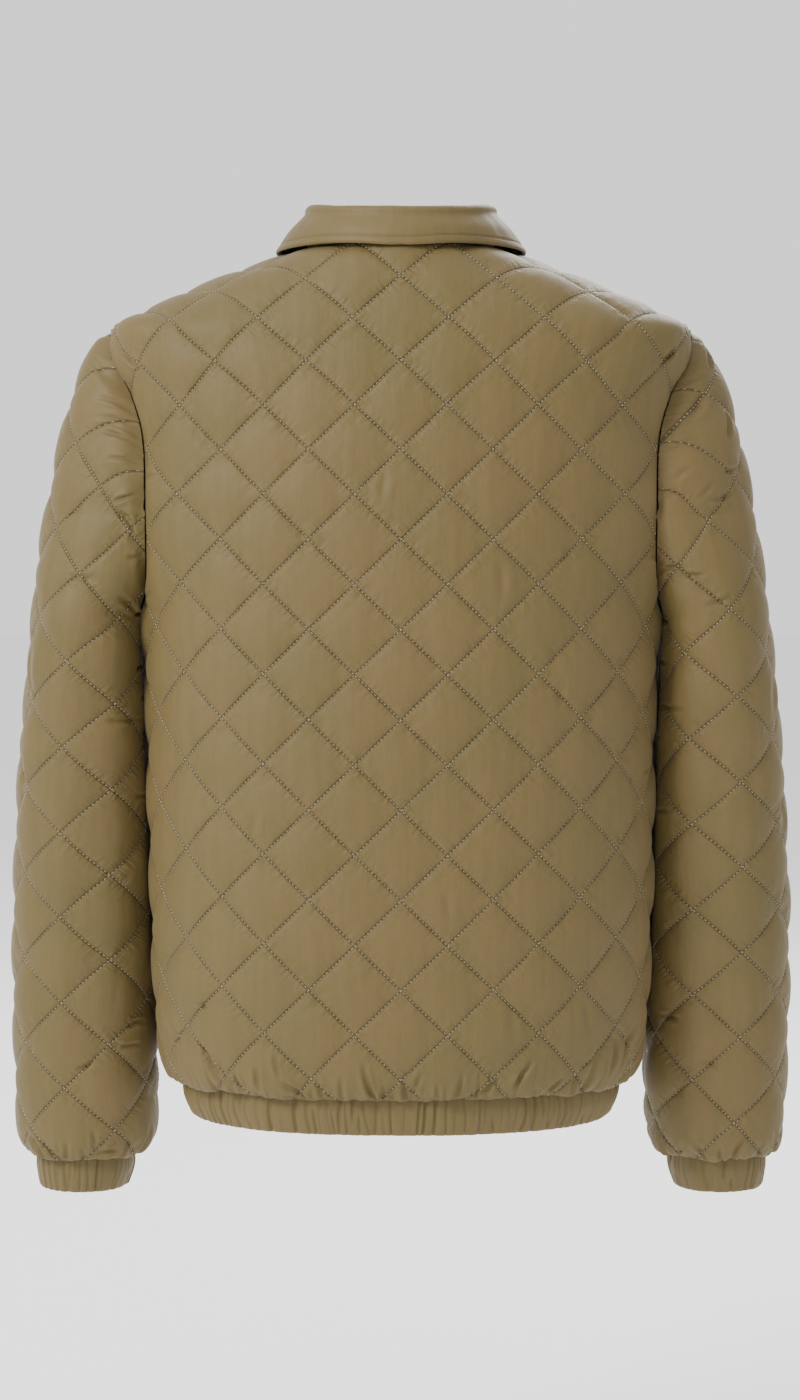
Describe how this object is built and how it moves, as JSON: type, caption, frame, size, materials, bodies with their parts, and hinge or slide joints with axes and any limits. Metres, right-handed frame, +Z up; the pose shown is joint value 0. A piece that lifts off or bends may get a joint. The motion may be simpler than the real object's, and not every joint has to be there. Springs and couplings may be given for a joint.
{
  "type": "quilted jacket",
  "caption": "Hollow, filled-out hip-length jacket of diamond-quilted cloth with a folded shirt collar, long sleeves, gathered elastic hem and cuffs, and a front zip with a hinged pull tab.",
  "frame": {"origin": "middle of the neck opening, at the height of the seam at the nape", "axes": "+Z up, +X towards the wearer's left, -Y towards the front"},
  "size_m": [0.6057, 0.2653, 0.7612],
  "materials": {
    "quilted_cloth": "satin",
    "plain_cloth": "satin",
    "band_cloth": "satin",
    "zip_tape": "matte",
    "zip_metal": "satin"
  },
  "bodies": {
    "jacket": {"back": "quilted_cloth", "front_left": "quilted_cloth", "front_right": "quilted_cloth", "sleeve_left": "quilted_cloth", "sleeve_right": "quilted_cloth", "collar": "plain_cloth", "hem_band": "band_cloth", "cuff_left": "band_cloth", "cuff_right": "band_cloth", "zip_tape_left": "zip_tape", "zip_tape_right": "zip_tape", "zip_chain": "zip_metal", "zip_stop_left": "zip_metal", "zip_stop_right": "zip_metal", "zip_box": "zip_metal", "zip_slider": "zip_metal"},
    "pull_tab": {"zip_pull": "zip_metal"}
  },
  "joints": [
    {"name": "zip_pull_hinge", "type": "hinge", "parent": "jacket", "child": "pull_tab", "pos_m": [0, -0.08969, -0.08347], "axis": [-1, 0, 0], "range_deg": [0, 170]}
  ]
}
